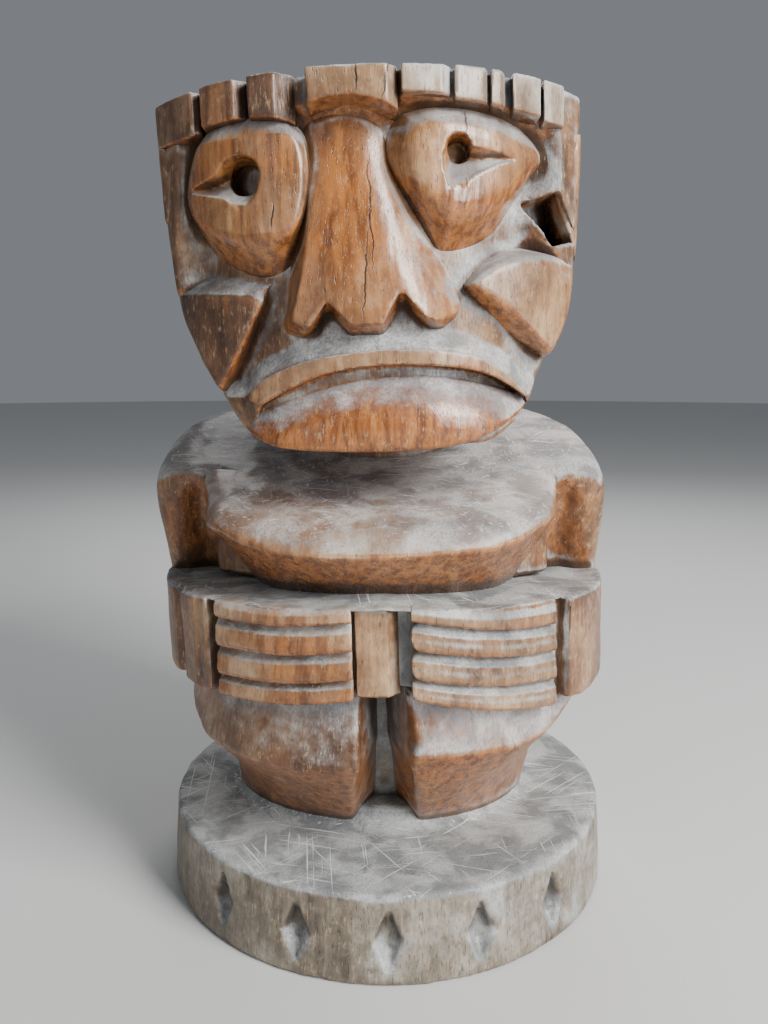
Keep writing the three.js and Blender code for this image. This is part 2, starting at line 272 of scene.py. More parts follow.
FINGER_LEVELS = {  # the edges between the fingers, next to the panel and next to the wrist
    "left": ([147.5, 141.2, 130.5, 120, 112], [144, 136.6, 125, 113.5, 105]),
    "right": ([147.5, 141.8, 131, 120.2, 112], [141.5, 133.1, 122.4, 110.8, 100]),
}
PANEL_BEARING, WRIST_BEARING = 6, 43
FINGER_START = {"left": 11.2, "right": 9.8}
FINGER_TIP = 5  # the radius of the right hand's rounded finger ends
WRIST = {"left": 65.8, "right": 68.2}
RING_FOOT = 112


def ledge_height(b):
    """The top of the ring, which falls away to the sides."""
    return LEDGE + 2 - 6 * np.clip(np.abs(b.bearing) / 70, 0, 1)


def ring_foot(b):
    """The underside of the ring, lower at the sides."""
    return RING_FOOT - ramp(b.bearing, [-45, 0, 55], [7.5, 0, 12])


def waist_core(b):
    """The belly inside the ring, with a thin slab on top that reaches out to the ledge's edge."""
    top = ledge_height(b)
    core = overlap(b.r - 88, b.z - top, ring_foot(b) + 3 - b.z)
    slab = overlap(b.r - 96.9, b.z - top, top - 1.6 - b.z, k=1.5)
    return blend_min(core, slab, 1)


def finger(side, i):
    """Finger i of a hand, counted down from the ledge. It slopes down to the wrist and sags on the way."""
    inner, outer = FINGER_LEVELS[side]
    sign = -1 if side == "left" else 1

    def field(b):
        t = (sign * b.bearing - PANEL_BEARING) / (WRIST_BEARING - PANEL_BEARING)
        sag = 1.2 * np.sin(math.pi * np.clip(t, 0, 1))
        top = inner[i] + (outer[i] - inner[i]) * t - sag
        foot = inner[i + 1] + (outer[i + 1] - inner[i + 1]) * t - sag
        v = (b.z - foot) / (top - foot)
        if i == 0:
            top = ledge_height(b) - 0.1
            face = 97.7 - 1.5 * smooth_step((v - 0.6) / 0.5)
        else:
            face = 97.8 - 0.6 * smooth_step((v - 0.3) / 0.3) - 3.2 * smooth_step((v - 0.7) / 0.28)
        face = face - 0.9 * smooth_step((0.2 - v) / 0.2)
        reach = sign * b.u
        end = FINGER_START[side] - reach
        if side == "right":
            off_middle = positive(np.abs(b.z - (top + foot) / 2) - 1)
            end = np.hypot(positive(end + FINGER_TIP), off_middle) - FINGER_TIP
        wrist = (reach - WRIST[side] - 0.25 * (b.r - 97)) * 0.95
        top = top + 0.4 * (i > 0)
        return overlap(b.r - face, b.z - top, foot - b.z, end, wrist, 86 - b.r, b.y + 40, k=0.7)
    return field


def loin_panel(b):
    """The strip between the hands, with a plane falling away on its right."""
    face = 92 - 0.95 * positive(b.u - 1.5)
    sides = np.abs(b.u + 2.2) - 8.8
    return overlap(b.r - face, sides, b.z - LEDGE - 0.5, 111.5 - b.z, 84 - b.r, b.y, k=0.8)


def forearm_left(b):
    """The arm and wrist, with a groove beside the hand and another round the side."""
    face = ramp(b.bearing, [-110, -66, -63.6, -62.4, -61.4, -58, -50.2, -49.6, -44],
                [99.5, 98.8, 98.2, 94.4, 94.4, 98.3, 98.6, 97.6, 97.6])
    groove = smooth_step((1.6 - np.abs(b.bearing + 44.6)) / 1.2)
    ends = overlap(b.bearing + 43.4, -106 - b.bearing) * ARC
    face = face - 6 * groove
    return overlap(b.r - face, ends, b.z - ledge_height(b) - 0.1, ring_foot(b) - b.z, ARM_ROOT - b.r)


def forearm_right(b):
    """The arm, a step down to the wrist, and a shallow groove at the step."""
    face = ramp(b.bearing, [42, 47.2, 48.4, 54, 110], [93, 93.5, 99, 99.7, 99.7])
    ends = overlap(43 - b.bearing, b.bearing - 106) * ARC
    groove = smooth_step((0.9 - np.abs(b.bearing - 47.6)) / 0.9)
    side = b.r - face + 3 * groove
    return overlap(side, ends, b.z - ledge_height(b) - 0.1, ring_foot(b) - b.z, ARM_ROOT - b.r)


def waist_back(b):
    behind = (101 - np.abs(b.bearing)) * ARC
    return overlap(b.r - 98.2, behind, b.z - ledge_height(b) + 0.4, 100 - b.z, ARM_ROOT - b.r)


# ---- torso

ARM_FACE_Y, ARM_FACE_Z, ARM_FACE_SLOPE = -10, 143, 0.42
SHOULDER_LEVEL = 215


def above_shoulders(b):
    """Positive above the sloped cut over the shoulders and chest, a little proud over the chest."""
    bulge = 4.2 * np.exp(-(((b.y + 68) / 25) ** 2) - (b.u / 60) ** 4)
    slope = 198 + 0.3 * b.y + bulge
    return (b.z - blend_min(slope, np.float32(SHOULDER_LEVEL), 10)) * 0.96


def chest_ends(b):
    """Half the chest's breadth: its ends flare as they run back to the arms."""
    return 67 + 0.2 * (b.y + 71)


def arm_face(b):
    """Positive in front of the arms' leaning front faces."""
    return (ARM_FACE_Y - ARM_FACE_SLOPE * (b.z - ARM_FACE_Z) - b.y) * 0.92


def torso_core(b):
    """The wood inside the chest and arms, narrower in front."""
    narrow = 1 + 0.3 * smooth_step((-b.y - 22) / 20)
    return overlap(above_shoulders(b), np.hypot(narrow * b.u, b.y) - 76, 143 - b.z, k=2)


def chest(b):
    """A shelf with a round front edge, which is undercut below its ridge."""
    ridge = ramp(b.u, [-66, -52, -36, -20, 10, 42, 52, 62, 70],
                 [174, 169, 166.5, 166.5, 168, 168.5, 171, 176, 180])
    foot = ramp(np.abs(b.u), [0, 44, 56, 66, 74, 84], [147, 148.5, 153, 159.5, 167, 178])
    reach = 97.6 - 21.5 * positive(ridge - b.z) / (ridge - foot)
    under = (b.r - reach) * 0.68
    ends = np.abs(b.u) - chest_ends(b)
    front = blend_max(blend_max(above_shoulders(b), b.r - LOG_RADIUS + 0.3, 13), ends, 7)
    return overlap(blend_max(front, under, 1.4), 58 - b.r, -4 - arm_face(b), k=3)


def upper_arm(side):
    """An arm with a leaning front face, hollowed beside the chest."""
    def field(b):
        across = side * b.u
        hollow = 3.5 * np.exp(-(((across - 80) / 5) ** 2)) * smooth_step((188 - b.z) / 14)
        face = 99.4 + 0.05 * (b.z - 150)
        front = arm_face(b) + hollow
        rear = (side * b.bearing - 108) * SHOULDER_ARC
        shell = blend_max(blend_max(above_shoulders(b), b.r - face, 16), front, 8)
        return overlap(shell, rear, 52 - b.r, 139 - b.z, k=1.5)
    return field


def back(b):
    behind = (104 - np.abs(b.bearing)) * SHOULDER_ARC
    spine = 3 * np.exp(-((b.u / 7) ** 2))
    shell = blend_max(above_shoulders(b), b.r - 100 + spine, 12)
    return overlap(shell, behind, 62 - b.r, 139 - b.z, k=1.5)


def neck(b):
    around = np.hypot(b.u, b.y - 28) - 44
    return overlap(around, b.z - 225, 186 - b.z)


# ---- head

HEAD_OUTLINE = [(79, 340), (79, 318), (78, 290), (76.3, 268), (73, 251), (68, 240), (62.5, 230),
                (56, 219), (49, 210), (38, 204)]
HEAD_SHAPE = [*bend([(-x, z) for x, z in HEAD_OUTLINE]), *bend(HEAD_OUTLINE[::-1])]
MOUTH_DROP = 7  # how far the mouth's slot runs down behind the lower lip
EAR_POCKET_FLOOR = 80


def above_crown(b):
    return b.z - (CROWN + CROWN_ROLL * b.u)


def head_blank(b):
    """The block that the head is carved from: its front outline, crown and undercut chin."""
    chin = 213.6 + 0.11 * b.y - b.z
    return overlap(outline(HEAD_SHAPE, b) + 0 * b.y, chin, above_crown(b), k=1)


LIP_TOP = bend([(-47.5, 221), (-41, 227.6), (-29.5, 232.9), (-18, 236), (-4, 238), (10.5, 238.7),
                (24.5, 238.3), (36, 236.2), (46, 231.6), (53.5, 225), (56, 221.5)])
LIP_UNDER = bend([(56, 221), (49.5, 225), (41.5, 229.2), (32, 231.7), (20.5, 232.8), (6.5, 233), (-4, 232.2),
                  (-17, 229.8), (-26, 226.6), (-35.5, 222), (-42, 218.4)])
MOUTH_FLOOR = bend([(-50, 212.6), (-42, 216.4), (-32, 220), (-22, 223.4), (-11, 226.4), (3, 228.4),
                    (17.5, 229), (32, 227.2), (46, 224), (56.5, 221)])
CHIN_EDGE = bend([(56.5, 220.6), (53, 216.5), (46, 211.6), (38, 207.8), (28, 205.2), (17, 203.8),
                  (2.5, 203.2), (-19, 203), (-35, 203.8), (-42, 206), (-48, 210), (-50.5, 212.4)])
MOUTH_SLOT = [*LIP_UNDER, *[(x * 0.96, z - MOUTH_DROP) for x, z in MOUTH_FLOOR[3:]]]
EAR_POCKET = [(55, 291.5), (68.6, 295.7), (77, 279.5), (66, 276.5)]


def pit(b, shape, floor):
    """A pocket cut straight in from the front, as a solid to take away."""
    return blend_max(outline(shape, b) + 0 * b.y, floor - b.r, 0.8)


def height_on(curve, u):
    """The height of an open curve at u."""
    return np.interp(u, [p[0] for p in curve], [p[1] for p in curve])


def skull(b):
    """The head behind the features: a recessed middle, full sides, a brow, and the mouth and ear
    pockets."""
    lip = height_on(LIP_TOP, b.u)
    middle = ramp(b.z - lip, [-14, -2, 0.8, 7, 20], [88, 90.5, 90.5, 86, 85])
    middle = middle + ramp(b.z, [258, 275, 300, 314, 319], [0, -1.5, -2.5, -1, 4.5])
    start = ramp(b.z, [236, 250, 262, 285, 314], [66, 66, 60, 57, 55])
    start = start - 7 * (b.u > 0) * np.exp(-(((b.z - 283) / 13) ** 2))
    side = smooth_step((np.abs(b.u) - start) / 17)
    face = middle + (95.8 - middle) * side
    brow = smooth_step((b.u - 8) / 4) * smooth_step((b.z - 318) / 2.5) * (1 - side)
    face = face + positive(93.6 - face) * brow
    cheekbone = 3 * np.exp(-(((b.u - 44) / 12) ** 2) - ((b.z - 252) / 9) ** 2)
    head = overlap((b.r - face - cheekbone) * 0.9, head_blank(b), k=1.8)
    mouth_depth = 86.6 - 2.4 * smooth_step((b.u - 5) / 35)
    head = blend_max(head, -pit(b, MOUTH_SLOT, mouth_depth), 0.8)
    return blend_max(head, -pit(b, EAR_POCKET, EAR_POCKET_FLOOR), 0.8)


def temple_left(b):
    ear = [(-84, 313), (-76, 313), (-68.5, 302), (-72, 293), (-76.3, 286), (-84, 284)]
    face = 97.8 - 0.5 * (79 + b.u)
    return overlap(relief(b, ear, face, 0.25), head_blank(b), k=1)


def temple_right(b):
    ear = [(74, 318), (75.6, 313), (67.6, 296.5), (75.6, 276), (76.5, 270), (84, 268), (84, 318)]
    face = 97.3 - 0.5 * (79 - b.u)
    return overlap(relief(b, ear, face, 0.15), head_blank(b), k=1)


def back_of_head(b):
    behind = (96 - np.abs(b.bearing)) * ARC
    return overlap(b.r - 97.4, behind, head_blank(b), b.z - BAND_FOOT - 4, 84 - b.r)


# Each front block of the headband: left edge, right edge, start of its bevelled side, and the
# heights of its lower left and lower right corners.
FRONT_BLOCKS = {
    "band_left_1": (-80, -58.6, -62, 308, 313),
    "band_left_2": (-58.3, -40.6, -45.5, 314, 315),
    "band_left_3": (-40.3, -24.4, -31, 314.8, 313),
    "band_right_1": (11, 28, 25, 320.5, 320.5),
    "band_right_2": (28.6, 40.4, 39, 319.4, 319.2),
    "band_right_3": (41, 46.6, 45, 319, 318.8),
    "band_right_4": (49, 60.6, 60, 318.4, 318.2),
    "band_right_5": (61, 70.4, 69.6, 317, 317),
}


def front_block(name):
    left, right, bevel, foot_left, foot_right = FRONT_BLOCKS[name]

    def field(b):
        face = LOG_RADIUS - 1.1 * positive(b.u - bevel)
        sides = np.maximum(left - b.u, b.u - right)
        foot = foot_left + (foot_right - foot_left) * (b.u - left) / (right - left) - b.z
        foot = foot - 0.05 * (face - b.r)
        return overlap(b.r - face, sides, foot, head_blank(b), BAND_ROOT - b.r, b.y + 30, k=0.6)
    return field


def band_centre(b):
    """The wide block over the nose, with an arched underside."""
    face = LOG_RADIUS - 1.1 * positive(b.u - 6.6)
    sides = np.maximum(-20.2 - b.u, b.u - 10.2)
    arch = ramp(b.u, [-21, -15, -7, 0, 6, 10], [317, 318.6, 319.6, 318.6, 317, 315.6])
    foot = arch - b.z - 0.14 * (face - b.r)
    return overlap(b.r - face, sides, foot * 0.9, head_blank(b), BAND_ROOT - b.r, b.y + 30, k=0.7)


BACK_BEARINGS = [58, 95, 125, 155, 185, 215, 245, 275, 302]
FIRST_BACK_BLOCK = 71  # it starts across the log, straight behind the last front block
NOTCH = 0.5  # half the width of a notch, in degrees


def back_block(i):
    """Block i of the headband, counted round the back from the right."""
    start, stop = BACK_BEARINGS[i], BACK_BEARINGS[i + 1]

    def field(b):
        around = np.mod(b.bearing, 360)
        near_side = FIRST_BACK_BLOCK - b.u if i == 0 else (start + NOTCH - around) * ARC
        sides = np.maximum(near_side, (around - stop + NOTCH) * ARC)
        return overlap(b.r - LOG_RADIUS + 0.2, sides, head_blank(b), BAND_FOOT - b.z, BAND_ROOT - b.r, k=1.2)
    return field


# ---- face

EYE_LEFT = bend([(-67, 294.6), (-64.5, 303), (-60.6, 309.7), (-54, 314.5), (-39.3, 316), (-29.9, 313.4),
                 (-24, 307.3), (-21.8, 300), (-22.3, 291), (-24.5, 283), (-30, 277), (-38, 275.2),
                 (-46.7, 275.4), (-55.2, 278.5), (-62.5, 283.9), (-66.5, 289.4), (-67, 294.6)])
EYE_LEFT_ROOT = bend([(-69, 294), (-67.5, 304), (-62.5, 312.5), (-55, 318), (-39, 319.5), (-28, 317),
                      (-21.5, 310), (-19.6, 300), (-20.2, 289), (-22.6, 279), (-26.6, 270.5), (-32.4, 265.2),
                      (-40, 263.8), (-49, 267.2), (-57.5, 272.6), (-63.8, 279.6), (-68, 287), (-69, 294)])
PUPIL_LEFT = [(-66, 294.6), *bend([(-60, 296.6), (-54, 298.6), (-50, 302.6), (-44, 303.6), (-39.5, 301.5)]),
              *bend([(-37.8, 297), (-38.5, 292), (-42, 288)]), (-45.6, 285.8), (-50.6, 290.4)]
EYE_RIGHT = bend([(20, 313.6), (15.7, 307), (14.7, 300.7), (15.9, 293.5), (20.8, 287), (29.7, 284),
                  (39.6, 285.6), (47, 291), (54, 297.4), (60.6, 304.2)])
EYE_RIGHT += bend([(60.6, 304.8), (57, 308.4), (50, 310.8), (43, 312.4), (35, 313.5), (26, 314.2),
                   (20, 313.6)])
EYE_RIGHT_ROOT = bend([(10, 319), (7, 312), (5.2, 303), (8.4, 294.6), (13.5, 287), (19, 279), (23.8, 273.2),
                       (33.6, 274.6), (43.5, 280.4), (51.4, 291), (58.4, 300), (64.6, 308.5), (57, 317),
                       (47, 321.4), (37, 323.4), (26, 323), (10, 319)])
PUPIL_RIGHT = [(50.6, 303.4), *bend([(42, 304.8), (35, 305.4), (33, 308.4), (30, 309.2), (26.4, 307)]),
               *bend([(24.6, 302), (25, 297)]), (27, 292), (31, 292), (35, 296.5), (43, 300.6)]


def cut_pupil(b, boss, face, shape, hole, low_side):
    """Takes a drilled pupil and a V cut out of an eye. The V has a broad floor that rises to low_side,
    and a steep wall above. hole is the pupil's u, z, radius and depth."""
    (x0, z0), (x1, z1) = low_side
    run = math.hypot(x1 - x0, z1 - z0)
    rise = ((b.z - z0) * (x1 - x0) - (b.u - x0) * (z1 - z0)) / run
    edge = outline(shape, b)
    depth = np.minimum(0.85 * np.clip(rise, 0, 11), 0.3 - 2.2 * edge)
    wedge = blend_max(edge + 0 * b.y, (face - 0.3 - depth - b.r) * 0.7, 0.4)
    x, z, radius, deep = hole
    drilled = overlap(np.hypot(b.u - x, b.z - z) - radius + 0 * b.y, face - deep - b.r, k=0.5)
    return blend_max(blend_max(boss, -wedge, 0.4), -drilled, 0.5)


def eye_left(b):
    right_roll = 0.013 * positive(b.u + 38) ** 2
    face = 96.2 - right_roll - 0.07 * positive(-50 - b.u) - 0.45 * positive(b.z - 309)
    walls = loft(b, EYE_LEFT, EYE_LEFT_ROOT, 96, 84)
    boss = overlap(walls, b.r - face, FACE_ROOT - b.r, b.y, k=3)
    return cut_pupil(b, boss, face, PUPIL_LEFT, (-43.4, 297, 5.9, 14), ((-66.6, 291.6), (-38, 286.4)))


def eye_right(b):
    face = 96 - 0.003 * (b.u - 32) ** 2 + 0 * b.r
    walls = loft(b, EYE_RIGHT, EYE_RIGHT_ROOT, 96, 84)
    boss = overlap(walls, b.r - face, FACE_ROOT - b.r, b.y, k=4.5)
    return cut_pupil(b, boss, face, PUPIL_RIGHT, (30.4, 305.2, 3.9, 12), ((26, 291.4), (49.2, 301.6)))


NOSE_FRONT = [*bend([(-18.2, 322), (-18.6, 307), (-19.6, 291), (-21.4, 278), (-24.6, 265), (-28.8, 249.6)]),
              (-28.4, 247.4), (-22, 245.4), (-16, 253.6), (-15.4, 253.6), (-8.2, 246), (3.2, 246.2),
              (9.4, 257), (10.2, 257), (17.8, 248.8), (21.5, 248.2),
              *bend([(26.6, 251.6), (28.6, 256.5), (25, 262.5), (18.4, 272), (13, 280.5), (7.6, 290),
                     (4.2, 299), (3, 308), (3, 322)])]
NOSE_ROOT = [*bend([(-23.4, 322), (-23.6, 307), (-25.6, 291), (-29, 274), (-33, 256), (-35, 247)]),
             (-33, 242.5), (-24, 240), (-16.5, 250.5), (-15.6, 250.5), (-9.4, 241), (4, 241.2),
             (9.6, 253.5), (10.4, 253.5), (18.6, 244), (25, 244),
             *bend([(31, 249), (33, 256), (29.5, 263), (23.5, 273), (18.5, 281), (12.4, 291.5),
                    (8, 300), (6.5, 308), (6.5, 322)])]


def nose(b):
    """A bridge that stands out further as it comes down, with a plane falling away on its right."""
    length = ramp(b.z, [240, 252, 275, 300, 322], [97, 96.6, 93, 89.3, 86.2])
    ridge = ramp(b.z, [248, 256, 271, 287, 303, 322], [18.5, 16, 9, 4.5, 0.5, -2])
    aside = b.u - ridge
    flank = 0.31 * (aside + np.hypot(aside, 5))
    crown_roll = 0.02 * positive(-10 - b.u) ** 2 * smooth_step((b.z - 280) / 30)
    face = length - flank - crown_roll
    walls = loft(b, NOSE_FRONT, NOSE_ROOT, 94, 82)
    return overlap(walls, b.r - face, RELIEF_ROOT - b.r, b.y, k=1.1)


CHEEK_RIGHT = [(34.5, 261), *bend([(39.5, 265), (46, 268.6), (54, 271), (64, 272.2), (80, 272)]),
               (84, 271), (84, 232), (64, 238),
               *bend([(60.5, 241.4), (51.5, 250.3), (42.8, 256), (34.5, 261)])]
CHEEK_RIGHT_ROOT = [(31.5, 261.4),
                    *bend([(38.5, 269), (45.8, 273.4), (53.6, 275.8), (64, 276.8), (80, 276.6)]),
                    (84, 276), (84, 230), (66, 234),
                    *bend([(61, 237), (54, 240.5), (46, 245), (38.6, 251), (31.5, 260)])]
CHEEK_LEFT = [(-39, 255.6), (-50, 257.6), (-65, 259.6), (-84, 261.6), (-84, 234), (-68, 228), (-58.4, 224.6)]
CHEEK_LEFT_ROOT = [(-35.5, 262.4), (-50, 265), (-65, 267.6), (-84, 270), (-84, 232), (-66, 224), (-55, 220)]


def cheek_right(b):
    face = 96.6 - 0.1 * positive(60 - b.u) - 0.005 * (b.z - 258) ** 2
    walls = loft(b, CHEEK_RIGHT, CHEEK_RIGHT_ROOT, 96, 84)
    return overlap(walls, b.r - face, head_blank(b), FACE_ROOT - b.r, b.y, k=2.4)


def cheek_left(b):
    face = 93.6 - 0.1 * positive(b.u + 66)
    walls = loft(b, CHEEK_LEFT, CHEEK_LEFT_ROOT, 93, 84)
    return overlap(walls, b.r - face, head_blank(b), FACE_ROOT - b.r, b.y, k=1.4)


def upper_lip(b):
    face = 92.8 + 0 * b.r
    return overlap(relief(b, [*LIP_TOP, *LIP_UNDER], face, 0.05, k=0.6), head_blank(b), k=0.8)


def lower_lip(b):
    """A full lip: its upper side leans back to the mouth, its front rolls under to the chin edge."""
    below = height_on(MOUTH_FLOOR, b.u) - b.z
    swell = 87.2 + 7.5 * np.sin(np.clip(below / 15, 0, 1) * math.pi / 2)
    face = swell - 0.09 * positive(below - 17) ** 1.5
    wall = outline([*MOUTH_FLOOR, *CHIN_EDGE], b) - 0.1 * (94.5 - b.r)
    return overlap(wall, b.r - face, 74 - b.r, b.y, k=1.2)


# ---- meshing

CLOSED = 0.3  # the field's least value on the sides of a member's block, so that every mesh is closed
CLEARANCE = 0.05  # how far the figure stays inside the CAD's overall box
FIELD_STEP, FIELD_MARGIN = 2.0, 24  # the margin is more than any member's growth


def surface_net(block, field):
    """A closed quad mesh of the field's zero surface: one corner for each cell that it crosses."""
    inside = field < 0
    cells = np.array(field.shape) - 1
    stride = np.array([cells[1] * cells[2], cells[2], 1])
    places, owners, quads = [], [], []
    for axis in range(3):
        near = tuple(slice(0, -1) if k == axis else slice(None) for k in range(3))
        far = tuple(slice(1, None) if k == axis else slice(None) for k in range(3))
        index = np.argwhere(inside[near] != inside[far])
        here = tuple(index.T)
        a, b = field[near][here], field[far][here]
        point = index.astype(np.float64)
        point[:, axis] += a / (a - b)
        first, second = (axis + 1) % 3, (axis + 2) % 3
        ring = []
        for one, two in ((0, 0), (1, 0), (1, 1), (0, 1)):
            cell = index.copy()
            cell[:, first] -= one
            cell[:, second] -= two
            ring.append(cell @ stride)
            places.append(point)
            owners.append(ring[-1])
        ring = np.stack(ring, 1)
        outward = inside[near][here]
        quads.append(np.where(outward[:, None], ring, ring[:, ::-1]))
    owners = np.concatenate(owners)
    used, slot = np.unique(owners, return_inverse=True)
    count = np.bincount(slot)
    places = np.concatenate(places)
    corners = np.stack([np.bincount(slot, places[:, k]) / count for k in range(3)], 1)
    faces = np.searchsorted(used, np.concatenate(quads))
    return corners * block.step + block.low, faces


def corner_normals(corners, faces):
    """The outward direction at each corner."""
    a, b, c, d = (corners[faces[:, k]] for k in range(4))
    face_normals = np.cross(c - a, d - b)
    normals = np.zeros_like(corners)
    for k in range(4):
        for axis in range(3):
            normals[:, axis] += np.bincount(faces[:, k], face_normals[:, axis], len(corners))
    return normals / np.maximum(np.linalg.norm(normals, axis=1, keepdims=True), 1e-9)


def lattice(i, j, k, seed):
    """A repeatable random number from 0 to 1 at each lattice point."""
    h = (i * 374761393 + j * 668265263 + k * 2147483647 + seed * 974634777) & 0xFFFFFFFF
    h = ((h ^ (h >> 13)) * 1274126177) & 0xFFFFFFFF
    return ((h ^ (h >> 16)) & 0xFFFFFF) / 0xFFFFFF


def between_corners(cell, f, value_at):
    """A value at fractions f across each cell, from value_at(i, j, k) at the cell's eight corners."""
    total = 0
    for di in (0, 1):
        for dj in (0, 1):
            for dk in (0, 1):
                weight = ((f[:, 0] if di else 1 - f[:, 0]) * (f[:, 1] if dj else 1 - f[:, 1])
                          * (f[:, 2] if dk else 1 - f[:, 2]))
                total = total + weight * value_at(cell[:, 0] + di, cell[:, 1] + dj, cell[:, 2] + dk)
    return total


def value_noise(points, size, seed):
    """Smooth noise from -1 to 1; size is its grain along each axis."""
    p = points / np.array(size)
    cell = np.floor(p).astype(np.int64)
    return between_corners(cell, smooth_step(p - cell), lambda i, j, k: lattice(i, j, k, seed)) * 2 - 1


class Field:
    """The whole figure's distance field on one coarse grid, for finding hollows and edges."""

    def __init__(self):
        low, high = np.array(CAD_LOW) / MM, np.array(CAD_HIGH) / MM
        self.block = Block(low - FIELD_MARGIN, high + FIELD_MARGIN, FIELD_STEP)
        shape = (self.block.x.size, self.block.y.size, self.block.z.size)
        self.values = np.full(shape, FIELD_MARGIN, np.float32)

    def add(self, low, high, make):
        """Joins a member's field on, within its own box."""
        b = self.block
        first = np.maximum(np.floor((low - b.low) / b.step).astype(int), 0)
        last = np.minimum(np.ceil((high - b.low) / b.step).astype(int), np.array(self.values.shape) - 1)
        part = Block(b.low + first * b.step, b.low + last * b.step, b.step)
        values = make(part)
        window = tuple(slice(f, f + n) for f, n in zip(first, values.shape))
        self.values[window] = np.minimum(self.values[window], values)

    def at(self, points):
        p = (points - self.block.low) / self.block.step
        p = np.clip(p, 0, np.array(self.values.shape) - 1.001)
        cell = p.astype(int)
        return between_corners(cell, p - cell, lambda i, j, k: self.values[i, j, k])


def hollow_and_edge_masks(whole, corners, normals):
    """How enclosed and how exposed each corner is, both from 0 to 1."""
    closed, exposed = 0, 0
    for reach, share in ((3, 0.3), (6, 0.3), (11, 0.25), (18, 0.15)):
        closed = closed + share * (1 - np.clip(whole.at(corners + normals * reach) / reach, 0, 1))
    for reach in (2.5, 4):
        exposed = exposed + 0.5 * (1 - np.clip(-whole.at(corners - normals * reach) / reach, 0, 1))
    return closed, np.clip(exposed * 2 - 0.3, 0, 1)


def carve_by_hand(corners, normals, rough):
    """Uneven tool work: broad hollows left by the gouge, and fine ridges along the grain."""
    broad = value_noise(corners, (13, 13, 17), 3) * 0.45 + value_noise(corners, (6, 6, 9), 5) * 0.2
    grain = value_noise(corners, (1.7, 1.7, 14), 7) * 0.1
    shift = (broad * rough + grain - 0.25)[:, None]
    return corners + normals * shift


def sculpt(node, make, step, grow):
    """One member's mesh, inside its CAD node's box widened by grow, where it is let into the core."""
    low, high = box_mm(node)
    block = Block(low - grow, high + grow, step)
    values = make(block)
    for axis in range(3):
        side = [slice(None)] * 3
        for end in (0, -1):
            side[axis] = end
            values[tuple(side)] = np.maximum(values[tuple(side)], CLOSED)
    return surface_net(block, values)


def add_piece(node, whole, make, step, grow, material, rough):
    """Sculpts, wears and dresses one member, which takes the place of its CAD node."""
    corners, faces = sculpt(node, make, step, grow)
    normals = corner_normals(corners, faces)
    closed, exposed = hollow_and_edge_masks(whole, corners, normals)
    corners = carve_by_hand(corners, normals, rough)
    corners = np.clip(corners, np.array(CAD_LOW) / MM + CLEARANCE, np.array(CAD_HIGH) / MM - CLEARANCE)
    mesh = bpy.data.meshes.new(node)
    mesh.from_pydata(corners * MM, [], faces)
    for name, mask in (("hollow", closed), ("edge", exposed)):
        mesh.attributes.new(name, "FLOAT", "POINT").data.foreach_set("value", mask.astype(np.float32))
    mesh.shade_smooth()
    mesh.materials.append(material)
    piece = bpy.data.objects.new(f"carved_{node}", mesh)
    bpy.context.scene.collection.objects.link(piece)
    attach(piece, "root")
    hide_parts(node)


# ---- materials

RUBBED_DARK, RUBBED_LIGHT = "68391c", "ad6a30"
FIBRE_PALE, PORE_DARK, PAINTED_SHADE_DARK, CRACK_DARK = "c9a982", "35241a", "2a1d15", "20150f"
CHALK_DARK, CHALK_LIGHT, SCRATCH_PALE, WORN_PALE = "7e8589", "b7bcbd", "d4d6d3", "cfae8a"
CRACK_SWAY, CRACK_WIDTH = 0.006, 0.0015
SCRATCH_TURNS = {0.6: 1.0, -0.8: 2.3, 1.3: 3.1, -1.4: 4.7, 0.1: 5.9}  # radians about Z, and a seed


def colour(hex_code):
    """A linear colour from an sRGB hex code."""
    parts = [int(hex_code[i:i + 2], 16) / 255 for i in (0, 2, 4)]
    return tuple(p / 12.92 if p <= 0.04045 else ((p + 0.055) / 1.055) ** 2.4 for p in parts) + (1,)


class Tree:
    """Short names for building one material's nodes."""

    def __init__(self, name):
        self.material = bpy.data.materials.new(name)
        self.material.use_nodes = True
        self.nodes = self.material.node_tree.nodes
        self.links = self.material.node_tree.links
        self.nodes.clear()

    def add(self, kind, inputs=(), **settings):
        node = self.nodes.new(kind)
        for key, value in settings.items():
            setattr(node, key, value)
        for socket, value in dict(inputs).items():
            self.feed(node.inputs[socket], value)
        return node

    def feed(self, socket, value):
        if isinstance(value, bpy.types.NodeSocket):
            self.links.new(value, socket)
        else:
            socket.default_value = value

    def math(self, operation, a, b):
        return self.add("ShaderNodeMath", {0: a, 1: b}, operation=operation).outputs[0]

    def times(self, a, b):
        return self.math("MULTIPLY", a, b)

    def weigh(self, *terms):
        """The sum of value times share over the (value, share) terms."""
        total = self.times(*terms[0])
        for value, share in terms[1:]:
            total = self.math("ADD", total, self.times(value, share))
        return total

    def fit(self, value, low, high, to_low=0.0, to_high=1.0):
        """value carried smoothly from the range low to high to the range to_low to to_high."""
        node = self.add("ShaderNodeMapRange", {0: value, 1: low, 2: high, 3: to_low, 4: to_high},
                        interpolation_type="SMOOTHSTEP")
        return node.outputs[0]

    def mix(self, amount, a, b):
        node = self.add("ShaderNodeMix", {"Factor": amount, 6: a, 7: b}, data_type="RGBA")
        return node.outputs[2]

    def stretch(self, scale=(1, 1, 1), turn=(0, 0, 0)):
        place = self.add("ShaderNodeTexCoord").outputs["Object"]
        node = self.add("ShaderNodeMapping", {"Vector": place, "Scale": scale, "Rotation": turn})
        return node.outputs["Vector"]

    def noise(self, vector, scale, detail=4.0, rough=0.55, bend=0.0):
        node = self.add("ShaderNodeTexNoise", {"Vector": vector, "Scale": scale, "Detail": detail,
                                               "Roughness": rough, "Distortion": bend})
        return node.outputs[0]

    def output(self, shader):
        self.links.new(shader.outputs[0], self.add("ShaderNodeOutputMaterial").inputs[0])


